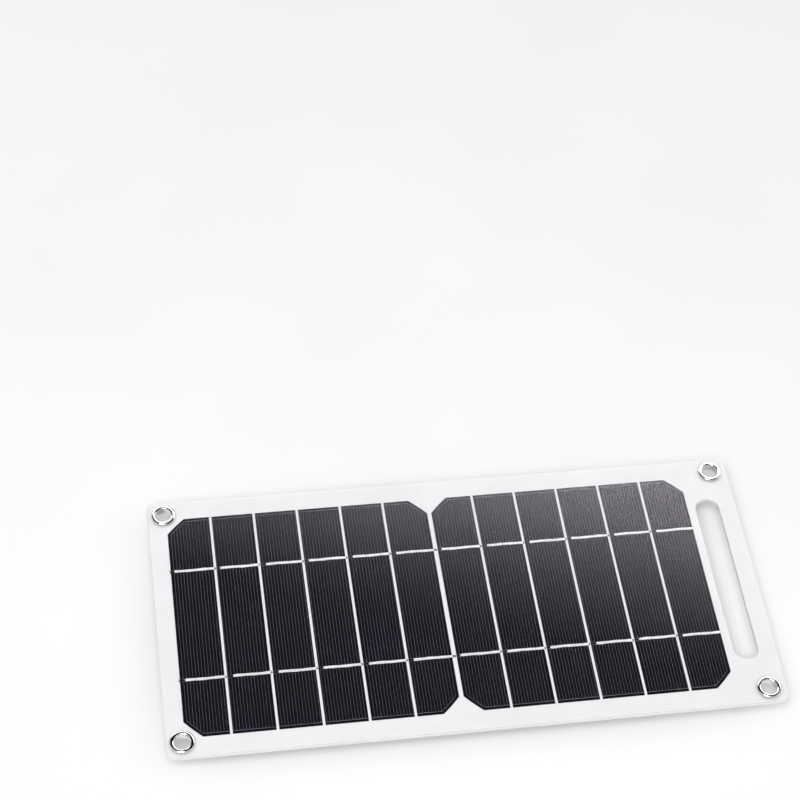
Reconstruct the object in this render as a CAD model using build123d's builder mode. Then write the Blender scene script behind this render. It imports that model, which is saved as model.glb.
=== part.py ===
from build123d import *
import os

# Solar phone charger: a thin rigid laminate with twelve cell strips in one row,
# four eyelets, a hand slot, and a small USB controller box glued to its back.
# Millimetres. +Z is the sun side, +X runs along the panel towards the hand slot.
# The origin is under the centre of the panel, level with the box's flat underside.

# ---------------------------------------------------------------- driving dimensions
# panel outline
PANEL_LENGTH = 300.0
PANEL_WIDTH = 146.0
PANEL_CORNER_R = 4.0
LEFT_MARGIN = 9.4

# cells: two 125 mm pseudo-square wafers, each cut into six strips
WAFER_SIDE = 125.0
WAFER_INGOT_R = 82.5
STRIPS_PER_WAFER = 6
END_STRIP_WIDTH = 21.3
STRIP_GAP = 1.3
WAFER_GAP = 2.2
BUSBAR_Y = 31.25

# hand slot, a stadium along Y
SLOT_FROM_CELLS = 4.1
SLOT_WIDTH = 12.2
SLOT_LENGTH = 96.0

# eyelets
EYELET_INSET_LEFT = 8.0
EYELET_INSET_RIGHT = 9.0
EYELET_INSET_Y = 8.0
EYELET_HOLE_R = 3.75
EYELET_FLANGE_R = 6.0
EYELET_SHEET = 0.4
EYELET_CREST = 0.9
EYELET_CREST_OUT = 0.75
EYELET_RIM_HEIGHT = 0.2
EYELET_MOUTH_DEPTH = 0.3
EYELET_ROLL_R = 5.2
EYELET_ROLL_OUT = 0.6
EYELET_ROLL_DEPTH = 0.6
WASHER_THICKNESS = 0.4
WASHER_CUP_WIDTH = 0.4
WASHER_CUP_HEIGHT = 0.25
BARREL_CLEARANCE = 0.05

# laminate layers, from the back to the sun side
BOARD_THICKNESS = 1.0
REAR_EVA_THICKNESS = 0.6
CELL_THICKNESS = 0.2
FRONT_EVA_THICKNESS = 0.45
FILM_THICKNESS = 0.25

# ribbons
RIBBON_THICKNESS = 0.2
TAB_WIDTH = 1.4
TAB_START = 2.3
TAB_END = 2.0
TAB_RELIEF = 0.2
END_TAB_REACH = 0.8
END_TAB_NUB = 0.6
FOLD_BACK = 6.0
BUS_WIDTH = 5.0
BUS_OVERHANG = 2.0
BUS_FROM_EDGE = 1.0

# controller box
BOX_LENGTH = 72.0
BOX_WIDTH = 40.0
BOX_CORNER_R = 5.0
BOX_EDGE_R = 2.0
BOX_WALL = 1.8
COVER_FLOOR = 1.6
COVER_HEIGHT = 10.0
BASE_THICKNESS = 2.0
RIM_THICKNESS = 1.0
RIM_HEIGHT = 1.5
RIM_CLEARANCE = 0.1
PAD_INSET = 2.0
PAD_THICKNESS = 0.8
GASKET_WIDTH = 0.8
GASKET_HEIGHT = 0.5
SCREW_X = 31.0
SCREW_Y = 15.0
SCREW_R = 1.0
SCREW_HEAD_R = 1.9
SCREW_HEAD_HEIGHT = 1.2
SCREW_HEAD_RECESS = 1.8
SCREW_LENGTH = 7.6
SCREW_CLEARANCE = 0.15
SCREW_HEAD_CLEARANCE = 0.2
CROSS_LENGTH = 2.2
CROSS_WIDTH = 0.5
CROSS_DEPTH = 0.7
PILOT_CLEARANCE = 0.02
PILOT_EXTRA = 0.4
COVER_BOSS_R = 3.0
COVER_BOSS_TOP = 6.0
PILLAR_R = 2.7
LEAD_WINDOW_LENGTH = 19.0
LEAD_WINDOW_WIDTH = 9.0
LEAD_WINDOW_R = 1.5

# circuit board and the pieces on it
PCB_LENGTH = 65.0
PCB_WIDTH = 34.0
PCB_THICKNESS = 1.2
PCB_NOTCH_R = 3.5
PCB_STAKE_X = -6.0
PCB_STAKE_Y = 13.6
STAKE_BOSS_R = 2.2
STAKE_PIN_R = 0.95
STAKE_HEAD_R = 1.5
STAKE_HEAD_HEIGHT = 0.6
STAKE_CLEARANCE = 0.05
STAKE_HEAD_TAPER = 35
POSITIVE_LEAD_X = -29.0
NEGATIVE_LEAD_X = -17.0
LEAD_FOOT = 2.6
LEAD_SLOT_LENGTH = 7.0
LEAD_SLOT_WIDTH = 2.4
SOLDER_LENGTH = 2.0
SOLDER_WIDTH = 4.4
SOLDER_CORNER_R = 0.9
SOLDER_HEIGHT = 0.5
SOLDER_TAPER = 30
SOLDER_FROM_FOOT = 0.2

# moulded pieces under the board: centre from the box's centre, length, width, height, corner radius
INDUCTOR = (6.0, -8.0, 7.3, 7.3, 4.0, 1.6)
DIODE = (-22.0, -9.0, 4.4, 2.7, 2.2, 0.3)
MOULDED_CHAMFER = 0.2

# eight-lead regulator
CHIP_X = 4.0
CHIP_Y = 6.0
CHIP_LENGTH = 4.9
CHIP_WIDTH = 3.9
CHIP_HEIGHT = 1.5
CHIP_STANDOFF = 0.15
CHIP_LEADS_PER_SIDE = 4
CHIP_LEAD_PITCH = 1.27
CHIP_LEAD_WIDTH = 0.42
CHIP_LEAD_LENGTH = 1.1
CHIP_LEAD_THICKNESS = 0.25
CHIP_LEAD_OUT = 0.5

# can capacitors
CAPACITOR_PLACES = ((-12.0, 3.0), (12.5, 12.0))
CAPACITOR_SEAT = 6.6
CAPACITOR_SEAT_R = 0.8
CAPACITOR_SEAT_HEIGHT = 0.8
CAPACITOR_R = 3.15
CAPACITOR_HEIGHT = 4.6

# status light, and the light pipe that carries it to the box's outside
LIGHT_X = -22.0
LIGHT_Y = 8.0
LIGHT_LENGTH = 2.0
LIGHT_WIDTH = 1.25
LIGHT_HEIGHT = 0.8
LIGHT_CORNER_R = 0.3
PIPE_R = 1.5
PIPE_CLEARANCE = 0.05
PIPE_RECESS = 0.1
PIPE_FROM_LIGHT = 0.3
PIPE_END_R = 0.4
PIPE_RING_R = 2.6
PIPE_RING_HEIGHT = 1.6

# USB-A receptacle
USB_WIDTH = 13.1
USB_HEIGHT = 5.7
USB_LENGTH = 14.1
USB_SHEET = 0.3
USB_CORNER_R = 0.6
USB_INNER_R = 0.3
SPRING_Y = 3.0
SPRING_WINDOW = (6.0, 4.5, 1.8)
SPRING_BLADE = (6.4, 3.7, 1.0)
SPRING_ROOT = (8.1, 0.5, 1.0)
USB_FLOOR_GAP = 0.4
USB_MOUTH_RECESS = 1.4
TONGUE_WIDTH = 11.1
TONGUE_THICKNESS = 1.84
TONGUE_BACK_GAP = 0.7
TONGUE_RECESS = 1.6
INSULATOR_BLOCK = 3.6
INSULATOR_CLEARANCE = 0.05
CONTACT_PITCHES = (-3.5, -1.0, 1.0, 3.5)
CONTACT_WIDTH = 1.0
CONTACT_THICKNESS = 0.15
CONTACT_TIP = 1.0
CONTACT_TAIL = 0.6
PORT_CLEARANCE = 0.3

# hinged port cover
DOOR_LENGTH = 17.6
DOOR_HEIGHT = 8.5
DOOR_THICKNESS = 1.4
DOOR_GAP = 0.1
DOOR_LIP_DEPTH = 1.0
DOOR_LIP_CLEARANCE = 0.4
DOOR_CORNER_R = 1.2
DOOR_EDGE_R = 0.4
DOOR_LIP_R = 0.8
DOOR_ARM_OVERLAP = 1.5
HINGE_FROM_WALL = 1.7
HINGE_FROM_DOOR = 1.8
KNUCKLE_R = 1.5
KNUCKLE_HEIGHT = 4.9
EAR_HEIGHT = 1.5
EAR_GAP = 0.1
EAR_ROOT = 0.4
PIN_R = 0.6
PIN_CLEARANCE = 0.05
THUMB_TAB = 1.8
THUMB_TAB_OVERLAP = 0.8
THUMB_TAB_THICKNESS = 0.8
THUMB_TAB_HEIGHT = 4.0
THUMB_TAB_R = 0.35
THUMB_TAB_OUT = 0.3

# ---------------------------------------------------------------- worked-out heights
usb_bottom = COVER_FLOOR + USB_FLOOR_GAP
pcb_bottom = usb_bottom + USB_HEIGHT
pcb_top = pcb_bottom + PCB_THICKNESS
base_top = COVER_HEIGHT + BASE_THICKNESS
board_bottom = base_top + PAD_THICKNESS
board_top = board_bottom + BOARD_THICKNESS
cell_bottom = board_top + REAR_EVA_THICKNESS
cell_top = cell_bottom + CELL_THICKNESS
film_bottom = cell_top + FRONT_EVA_THICKNESS
film_top = film_bottom + FILM_THICKNESS
port_z = usb_bottom + USB_HEIGHT / 2

# ---------------------------------------------------------------- worked-out layout
middle_strip_width = (WAFER_SIDE - 2 * END_STRIP_WIDTH) / (STRIPS_PER_WAFER - 2)
wafer_length = WAFER_SIDE + (STRIPS_PER_WAFER - 1) * STRIP_GAP
cells_left = -PANEL_LENGTH / 2 + LEFT_MARGIN
cells_right = cells_left + 2 * wafer_length + WAFER_GAP
slot_x = cells_right + SLOT_FROM_CELLS + SLOT_WIDTH / 2
box_x = (cells_left + cells_right) / 2
mouth_x = box_x + BOX_LENGTH / 2 - USB_MOUTH_RECESS
wall_x = box_x + BOX_LENGTH / 2

eyelet_y = PANEL_WIDTH / 2 - EYELET_INSET_Y
eyelet_left_x = -PANEL_LENGTH / 2 + EYELET_INSET_LEFT
eyelet_right_x = PANEL_LENGTH / 2 - EYELET_INSET_RIGHT
EYELET_PLACES = {
    "top_left": (eyelet_left_x, eyelet_y),
    "top_right": (eyelet_right_x, eyelet_y),
    "bottom_left": (eyelet_left_x, -eyelet_y),
    "bottom_right": (eyelet_right_x, -eyelet_y),
}

# left edge, right edge and wafer centre of each strip; a cut wafer's strips stand apart,
# so the wafer's own round outline is placed against its outer strips only
strips = []
x = cells_left
for wafer in range(2):
    for index in range(STRIPS_PER_WAFER):
        is_first = index == 0
        is_last = index == STRIPS_PER_WAFER - 1
        width = END_STRIP_WIDTH if is_first or is_last else middle_strip_width
        centre = None
        if is_first:
            centre = x + WAFER_SIDE / 2
        if is_last:
            centre = x + width - WAFER_SIDE / 2
        strips.append((x, x + width, centre))
        x += width + (WAFER_GAP if is_last else STRIP_GAP)

os.makedirs("parts", exist_ok=True)


def save(part, name):
    """Label a finished piece and write it under its node name."""
    part.label = name
    export_step(part, f"parts/{name}.step")


def xz_plane(y):
    """A plane whose x is the row's X and whose y is the row's Z, at the given Y."""
    return Plane(origin=(0, y, 0), x_dir=(1, 0, 0), z_dir=(0, -1, 0))


# ---------------------------------------------------------------- laminate sheets
def panel_sheet(bottom, thickness):
    """One full layer of the laminate, with its slot and its eyelet holes."""
    with BuildPart() as sheet:
        with BuildSketch(Plane.XY.offset(bottom)):
            RectangleRounded(PANEL_LENGTH, PANEL_WIDTH, PANEL_CORNER_R)
            with Locations((slot_x, 0)):
                SlotOverall(SLOT_LENGTH, SLOT_WIDTH, rotation=90, mode=Mode.SUBTRACT)
            with Locations(*EYELET_PLACES.values()):
                barrel_r = EYELET_HOLE_R + EYELET_SHEET + BARREL_CLEARANCE
                Circle(barrel_r, mode=Mode.SUBTRACT)
        extrude(amount=thickness)
    return sheet.part


with BuildPart() as front_film:
    add(panel_sheet(film_bottom, FILM_THICKNESS))
save(front_film.part, "front_film")

with BuildPart() as back_board:
    add(panel_sheet(board_bottom, BOARD_THICKNESS))
    with BuildSketch(Plane.XY.offset(board_bottom)):
        with Locations((box_x + POSITIVE_LEAD_X, 0), (box_x + NEGATIVE_LEAD_X, 0)):
            SlotOverall(LEAD_SLOT_LENGTH, LEAD_SLOT_WIDTH, rotation=90)
    extrude(amount=BOARD_THICKNESS, mode=Mode.SUBTRACT)
save(back_board.part, "back_board")

# ---------------------------------------------------------------- cell strips
cells = []
for number, (left, right, centre) in enumerate(strips, start=1):
    with BuildPart() as cell:
        with BuildSketch(Plane.XY.offset(cell_bottom)):
            with Locations(((left + right) / 2, 0)):
                Rectangle(right - left, WAFER_SIDE)
            if centre is not None:
                with Locations((centre, 0)):
                    Circle(WAFER_INGOT_R, mode=Mode.INTERSECT)
        extrude(amount=CELL_THICKNESS)
    save(cell.part, f"cell_strip_{number:02d}")
    cells.append(cell.part)


# ---------------------------------------------------------------- tab ribbons
def tab_pair(points):
    """Two tab ribbons, one on each busbar, with the given outline in X and Z."""
    with BuildPart() as pair:
        for y in (-BUSBAR_Y, BUSBAR_Y):
            with BuildSketch(xz_plane(y)):
                with BuildLine():
                    Polyline(*points, close=True)
                make_face()
            extrude(amount=TAB_WIDTH / 2, both=True)
    return pair.part


front_low = cell_top
front_high = cell_top + RIBBON_THICKNESS
rear_high = cell_bottom
rear_low = cell_bottom - RIBBON_THICKNESS
fold_high = rear_low
fold_low = fold_high - RIBBON_THICKNESS
ribbons = []

for number in range(1, len(strips)):
    left, right, _ = strips[number - 1]
    next_left, next_right, _ = strips[number]
    # the last strip's rear tabs stop short, clear of the folded end tabs
    stop = next_right - TAB_END
    if number == len(strips) - 1:
        stop = next_right - FOLD_BACK - TAB_END
    tabs = tab_pair([
        (left + TAB_START, front_low),
        (right + TAB_RELIEF, front_low),
        (next_left - TAB_RELIEF, rear_low),
        (stop, rear_low),
        (stop, rear_high),
        (next_left - TAB_RELIEF, rear_high),
        (right + TAB_RELIEF, front_high),
        (left + TAB_START, front_high),
    ])
    save(tabs, f"tab_ribbons_{number:02d}_{number + 1:02d}")
    ribbons.append(tabs)

first_left = strips[0][0]
last_left = strips[-1][0]
positive_tabs = tab_pair([
    (first_left - END_TAB_NUB, rear_low),
    (strips[0][1] - TAB_END, rear_low),
    (strips[0][1] - TAB_END, rear_high),
    (first_left - END_TAB_NUB, rear_high),
])
save(positive_tabs, "positive_end_tabs")

fold_x = cells_right + END_TAB_REACH
negative_tabs = tab_pair([
    (last_left + TAB_START, front_low),
    (fold_x, front_low),
    (fold_x, fold_high),
    (cells_right - FOLD_BACK, fold_high),
    (cells_right - FOLD_BACK, fold_low),
    (fold_x + RIBBON_THICKNESS, fold_low),
    (fold_x + RIBBON_THICKNESS, front_high),
    (last_left + TAB_START, front_high),
])
save(negative_tabs, "negative_end_tabs")
ribbons += [positive_tabs, negative_tabs]


# ---------------------------------------------------------------- bus and lead ribbons
def bus_ribbon(centre_x, bottom):
    """A flat ribbon along Y that joins the two end tabs of one pole."""
    with BuildPart() as bus:
        with BuildSketch(Plane.XY.offset(bottom)):
            with Locations((centre_x, 0)):
                Rectangle(BUS_WIDTH, 2 * (BUSBAR_Y + BUS_OVERHANG))
        extrude(amount=RIBBON_THICKNESS)
    return bus.part


def lead_ribbon(start_x, down_x, bottom):
    """A flat ribbon from a bus to the circuit board, with a foot that is soldered down."""
    direction = 1 if down_x > start_x else -1
    top = bottom + RIBBON_THICKNESS
    far_x = down_x + direction * RIBBON_THICKNESS
    foot_x = down_x - direction * LEAD_FOOT
    with BuildPart() as lead:
        with BuildSketch(xz_plane(0)):
            with BuildLine():
                Polyline(
                    (start_x, top),
                    (far_x, top),
                    (far_x, pcb_top),
                    (foot_x, pcb_top),
                    (foot_x, pcb_top + RIBBON_THICKNESS),
                    (down_x, pcb_top + RIBBON_THICKNESS),
                    (down_x, bottom),
                    (start_x, bottom),
                    close=True,
                )
            make_face()
        extrude(amount=BUS_WIDTH / 2, both=True)
    return lead.part


positive_bus_x = first_left + BUS_WIDTH / 2 + BUS_FROM_EDGE
negative_bus_x = cells_right - FOLD_BACK + BUS_WIDTH / 2
negative_low = fold_low - RIBBON_THICKNESS

positive_bus = bus_ribbon(positive_bus_x, fold_low)
negative_bus = bus_ribbon(negative_bus_x, negative_low)
positive_lead = lead_ribbon(positive_bus_x + BUS_WIDTH / 2, box_x + POSITIVE_LEAD_X, fold_low)
negative_lead = lead_ribbon(negative_bus_x - BUS_WIDTH / 2, box_x + NEGATIVE_LEAD_X, negative_low)
save(positive_bus, "positive_bus_ribbon")
save(negative_bus, "negative_bus_ribbon")
save(positive_lead, "positive_lead_ribbon")
save(negative_lead, "negative_lead_ribbon")
ribbons += [positive_bus, negative_bus, positive_lead, negative_lead]

# solder mounds over the two lead feet
with BuildPart() as solder_joints:
    foot_top = pcb_top + RIBBON_THICKNESS
    positive_foot_x = box_x + POSITIVE_LEAD_X - LEAD_FOOT / 2 - SOLDER_FROM_FOOT
    negative_foot_x = box_x + NEGATIVE_LEAD_X + LEAD_FOOT / 2 + SOLDER_FROM_FOOT
    with BuildSketch(Plane.XY.offset(foot_top)):
        with Locations((positive_foot_x, 0), (negative_foot_x, 0)):
            RectangleRounded(SOLDER_LENGTH, SOLDER_WIDTH, SOLDER_CORNER_R)
    extrude(amount=SOLDER_HEIGHT, taper=SOLDER_TAPER)
save(solder_joints.part, "lead_solder_joints")

# ---------------------------------------------------------------- encapsulant layers
with BuildPart() as rear_encapsulant:
    add(panel_sheet(board_top, REAR_EVA_THICKNESS))
    for ribbon in ribbons:
        add(ribbon, mode=Mode.SUBTRACT)
save(rear_encapsulant.part, "rear_encapsulant")

with BuildPart() as front_encapsulant:
    add(panel_sheet(cell_bottom, CELL_THICKNESS + FRONT_EVA_THICKNESS))
    for strip in cells:
        add(strip, mode=Mode.SUBTRACT)
    for ribbon in ribbons:
        add(ribbon, mode=Mode.SUBTRACT)
save(front_encapsulant.part, "front_encapsulant")

# ---------------------------------------------------------------- eyelets and washers
washer_bottom = board_bottom - WASHER_THICKNESS
barrel_r = EYELET_HOLE_R + EYELET_SHEET
for place, (ex, ey) in EYELET_PLACES.items():
    section_plane = Plane(origin=(ex, ey, 0), x_dir=(1, 0, 0), z_dir=(0, -1, 0))

    # flange bead over the film, straight barrel, and the end rolled out under the washer
    with BuildPart() as eyelet:
        with BuildSketch(section_plane):
            with BuildLine():
                crest = (barrel_r + EYELET_CREST_OUT, film_top + EYELET_CREST)
                rim = (EYELET_FLANGE_R, film_top + EYELET_RIM_HEIGHT)
                mouth = (EYELET_HOLE_R, film_top - EYELET_MOUTH_DEPTH)
                roll_out = (EYELET_ROLL_R, washer_bottom)
                roll_in = (EYELET_HOLE_R, washer_bottom)
                roll_end = (EYELET_HOLE_R + EYELET_ROLL_OUT, washer_bottom - EYELET_ROLL_DEPTH)
                Line((barrel_r, film_top), (EYELET_FLANGE_R, film_top))
                Line((EYELET_FLANGE_R, film_top), rim)
                Spline(rim, crest, tangents=[(-0.25, 1), (-1, 0)])
                Spline(crest, mouth, tangents=[(-1, 0), (0, -1)])
                Line(mouth, roll_in)
                Spline(roll_in, roll_end, roll_out, tangents=[(0, -1), (-0.3, 1)])
                Line(roll_out, (barrel_r, washer_bottom))
                Line((barrel_r, washer_bottom), (barrel_r, film_top))
            make_face()
        revolve(axis=Axis((ex, ey, 0), (0, 0, 1)))
    save(eyelet.part, f"eyelet_{place}")

    # rear washer, slightly cupped towards the board
    with BuildPart() as washer:
        with BuildSketch(section_plane):
            with BuildLine():
                inner = barrel_r + BARREL_CLEARANCE
                Polyline(
                    (inner, washer_bottom),
                    (EYELET_FLANGE_R - WASHER_CUP_WIDTH, washer_bottom),
                    (EYELET_FLANGE_R, washer_bottom + WASHER_CUP_HEIGHT),
                    (EYELET_FLANGE_R, board_bottom),
                    (inner, board_bottom),
                    close=True,
                )
            make_face()
        revolve(axis=Axis((ex, ey, 0), (0, 0, 1)))
    save(washer.part, f"eyelet_washer_{place}")

# ---------------------------------------------------------------- box: pad, base, cover
screw_places = GridLocations(2 * SCREW_X, 2 * SCREW_Y, 2, 2).local_locations
box_screws = [(box_x + loc.position.X, loc.position.Y) for loc in screw_places]
stake_places = [(box_x + PCB_STAKE_X, PCB_STAKE_Y), (box_x + PCB_STAKE_X, -PCB_STAKE_Y)]
window_x = box_x + (POSITIVE_LEAD_X + NEGATIVE_LEAD_X) / 2
inside_length = BOX_LENGTH - 2 * BOX_WALL
inside_width = BOX_WIDTH - 2 * BOX_WALL
inside_corner_r = BOX_CORNER_R - BOX_WALL

with BuildPart() as adhesive_pad:
    with BuildSketch(Plane.XY.offset(base_top)):
        with Locations((box_x, 0)):
            pad_length = BOX_LENGTH - 2 * PAD_INSET
            pad_width = BOX_WIDTH - 2 * PAD_INSET
            RectangleRounded(pad_length, pad_width, BOX_CORNER_R - PAD_INSET)
        with Locations((window_x, 0)):
            RectangleRounded(LEAD_WINDOW_LENGTH, LEAD_WINDOW_WIDTH, LEAD_WINDOW_R, mode=Mode.SUBTRACT)
    extrude(amount=PAD_THICKNESS)
save(adhesive_pad.part, "adhesive_pad")

with BuildPart() as box_base:
    with BuildSketch(Plane.XY.offset(COVER_HEIGHT)):
        with Locations((box_x, 0)):
            RectangleRounded(BOX_LENGTH, BOX_WIDTH, BOX_CORNER_R)
    extrude(amount=BASE_THICKNESS)
    # rim that centres the cover
    with BuildSketch(Plane.XY.offset(COVER_HEIGHT)):
        with Locations((box_x, 0)):
            rim_length = inside_length - 2 * RIM_CLEARANCE
            rim_width = inside_width - 2 * RIM_CLEARANCE
            rim_r = inside_corner_r - RIM_CLEARANCE
            RectangleRounded(rim_length, rim_width, rim_r)
            RectangleRounded(
                rim_length - 2 * RIM_THICKNESS,
                rim_width - 2 * RIM_THICKNESS,
                rim_r - RIM_THICKNESS,
                mode=Mode.SUBTRACT,
            )
    extrude(amount=-RIM_HEIGHT)
    # pillars that take the cover screws
    with BuildSketch(Plane.XY.offset(COVER_HEIGHT)):
        with Locations(*box_screws):
            Circle(PILLAR_R)
    extrude(amount=-(COVER_HEIGHT - COVER_BOSS_TOP))
    # heat-staked posts that hold the circuit board
    with BuildSketch(Plane.XY.offset(COVER_HEIGHT)):
        with Locations(*stake_places):
            Circle(STAKE_BOSS_R)
    extrude(amount=-(COVER_HEIGHT - pcb_top))
    with BuildSketch(Plane.XY.offset(pcb_top)):
        with Locations(*stake_places):
            Circle(STAKE_PIN_R)
    extrude(amount=-PCB_THICKNESS)
    with BuildSketch(Plane.XY.offset(pcb_bottom)):
        with Locations(*stake_places):
            Circle(STAKE_HEAD_R)
    extrude(amount=-STAKE_HEAD_HEIGHT, taper=STAKE_HEAD_TAPER)
    # window for the two leads, and the screws' pilot holes
    with BuildSketch(Plane.XY.offset(COVER_HEIGHT)):
        with Locations((window_x, 0)):
            RectangleRounded(LEAD_WINDOW_LENGTH, LEAD_WINDOW_WIDTH, LEAD_WINDOW_R)
    extrude(amount=BASE_THICKNESS, mode=Mode.SUBTRACT)
    with BuildSketch(Plane.XY.offset(COVER_BOSS_TOP)):
        with Locations(*box_screws):
            Circle(SCREW_R + PILOT_CLEARANCE)
    pilot_depth = SCREW_HEAD_RECESS + SCREW_LENGTH - COVER_BOSS_TOP + PILOT_EXTRA
    extrude(amount=pilot_depth, mode=Mode.SUBTRACT)
save(box_base.part, "box_base")

# port opening, and the hinge line of its cover, on the box's +X end
port_width = USB_WIDTH + 2 * PORT_CLEARANCE
port_height = USB_HEIGHT + 2 * PORT_CLEARANCE
hinge_x = wall_x + HINGE_FROM_WALL
hinge_y = -DOOR_LENGTH / 2 - HINGE_FROM_DOOR
knuckle_bottom = port_z - KNUCKLE_HEIGHT / 2
knuckle_top = port_z + KNUCKLE_HEIGHT / 2
ear_bottoms = (knuckle_bottom - EAR_GAP - EAR_HEIGHT, knuckle_top + EAR_GAP)

with BuildPart() as box_cover:
    with BuildSketch():
        with Locations((box_x, 0)):
            RectangleRounded(BOX_LENGTH, BOX_WIDTH, BOX_CORNER_R)
    extrude(amount=COVER_HEIGHT)
    fillet(box_cover.faces().sort_by(Axis.Z)[0].edges(), BOX_EDGE_R)
    with BuildSketch(Plane.XY.offset(COVER_FLOOR)):
        with Locations((box_x, 0)):
            RectangleRounded(inside_length, inside_width, inside_corner_r)
    extrude(amount=COVER_HEIGHT - COVER_FLOOR, mode=Mode.SUBTRACT)
    # screw bosses
    with BuildSketch(Plane.XY.offset(COVER_FLOOR)):
        with Locations(*box_screws):
            Circle(COVER_BOSS_R)
    extrude(amount=COVER_BOSS_TOP - COVER_FLOOR)
    with BuildSketch():
        with Locations(*box_screws):
            Circle(SCREW_HEAD_R + SCREW_HEAD_CLEARANCE)
    extrude(amount=SCREW_HEAD_RECESS, mode=Mode.SUBTRACT)
    with BuildSketch():
        with Locations(*box_screws):
            Circle(SCREW_R + SCREW_CLEARANCE)
    extrude(amount=COVER_BOSS_TOP, mode=Mode.SUBTRACT)
    # gasket groove in the top of the wall
    with BuildSketch(Plane.XY.offset(COVER_HEIGHT)):
        with Locations((box_x, 0)):
            groove_inset = (BOX_WALL - GASKET_WIDTH) / 2
            RectangleRounded(
                BOX_LENGTH - 2 * groove_inset, BOX_WIDTH - 2 * groove_inset, BOX_CORNER_R - groove_inset
            )
            groove_inner = groove_inset + GASKET_WIDTH
            RectangleRounded(
                BOX_LENGTH - 2 * groove_inner,
                BOX_WIDTH - 2 * groove_inner,
                BOX_CORNER_R - groove_inner,
                mode=Mode.SUBTRACT,
            )
    extrude(amount=-GASKET_HEIGHT, mode=Mode.SUBTRACT)
    # port through the +X wall
    with BuildSketch(Plane.YZ.offset(wall_x)):
        with Locations((0, port_z)):
            RectangleRounded(port_width, port_height, USB_CORNER_R)
    extrude(amount=-BOX_WALL, mode=Mode.SUBTRACT)
    # hinge ears
    for ear_bottom in ear_bottoms:
        with BuildSketch(Plane.XY.offset(ear_bottom)):
            with Locations((hinge_x, hinge_y)):
                Circle(KNUCKLE_R)
            with Locations((hinge_x - (HINGE_FROM_WALL + EAR_ROOT) / 2, hinge_y)):
                Rectangle(HINGE_FROM_WALL + EAR_ROOT, 2 * KNUCKLE_R)
            with Locations((hinge_x, hinge_y)):
                Circle(PIN_R, mode=Mode.SUBTRACT)
        extrude(amount=EAR_HEIGHT)
    # hole for the light pipe
    with BuildSketch():
        with Locations((box_x + LIGHT_X, LIGHT_Y)):
            Circle(PIPE_R + PIPE_CLEARANCE)
    extrude(amount=COVER_FLOOR, mode=Mode.SUBTRACT)
    # raised ring inside, around the light pipe
    with BuildSketch(Plane.XY.offset(COVER_FLOOR)):
        with Locations((box_x + LIGHT_X, LIGHT_Y)):
            Circle(PIPE_RING_R)
            Circle(PIPE_R + PIPE_CLEARANCE, mode=Mode.SUBTRACT)
    extrude(amount=PIPE_RING_HEIGHT)
save(box_cover.part, "box_cover")

with BuildPart() as cover_gasket:
    with BuildSketch(Plane.XY.offset(COVER_HEIGHT - GASKET_HEIGHT)):
        with Locations((box_x, 0)):
            RectangleRounded(
                BOX_LENGTH - 2 * groove_inset, BOX_WIDTH - 2 * groove_inset, BOX_CORNER_R - groove_inset
            )
            RectangleRounded(
                BOX_LENGTH - 2 * groove_inner,
                BOX_WIDTH - 2 * groove_inner,
                BOX_CORNER_R - groove_inner,
                mode=Mode.SUBTRACT,
            )
    extrude(amount=GASKET_HEIGHT)
save(cover_gasket.part, "cover_gasket")

with BuildPart() as cover_screws:
    head_bottom = SCREW_HEAD_RECESS - SCREW_HEAD_HEIGHT
    with BuildSketch(Plane.XY.offset(head_bottom)):
        with Locations(*box_screws):
            Circle(SCREW_HEAD_R)
    extrude(amount=SCREW_HEAD_HEIGHT)
    with BuildSketch(Plane.XY.offset(SCREW_HEAD_RECESS)):
        with Locations(*box_screws):
            Circle(SCREW_R)
    extrude(amount=SCREW_LENGTH)
    # cross recess in each head
    with BuildSketch(Plane.XY.offset(head_bottom)):
        with Locations(*box_screws):
            Rectangle(CROSS_LENGTH, CROSS_WIDTH)
            Rectangle(CROSS_WIDTH, CROSS_LENGTH)
    extrude(amount=CROSS_DEPTH, mode=Mode.SUBTRACT)
save(cover_screws.part, "cover_screws")

# ---------------------------------------------------------------- circuit board
with BuildPart() as circuit_board:
    with BuildSketch(Plane.XY.offset(pcb_bottom)):
        with Locations((box_x, 0)):
            Rectangle(PCB_LENGTH, PCB_WIDTH)
        with Locations(*box_screws):
            Circle(PCB_NOTCH_R, mode=Mode.SUBTRACT)
        with Locations(*stake_places):
            Circle(STAKE_PIN_R + STAKE_CLEARANCE, mode=Mode.SUBTRACT)
    extrude(amount=PCB_THICKNESS)
save(circuit_board.part, "circuit_board")


def under_board(centre_x, centre_y, length, width, height, corner_r):
    """A moulded component body soldered to the underside of the circuit board."""
    with BuildPart() as body:
        with BuildSketch(Plane.XY.offset(pcb_bottom)):
            with Locations((box_x + centre_x, centre_y)):
                RectangleRounded(length, width, corner_r)
        extrude(amount=-height)
        chamfer(body.faces().sort_by(Axis.Z)[0].edges(), MOULDED_CHAMFER)
    return body.part


with BuildPart() as power_inductor:
    add(under_board(*INDUCTOR))
save(power_inductor.part, "power_inductor")

with BuildPart() as blocking_diode:
    add(under_board(*DIODE))
save(blocking_diode.part, "blocking_diode")

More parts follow.
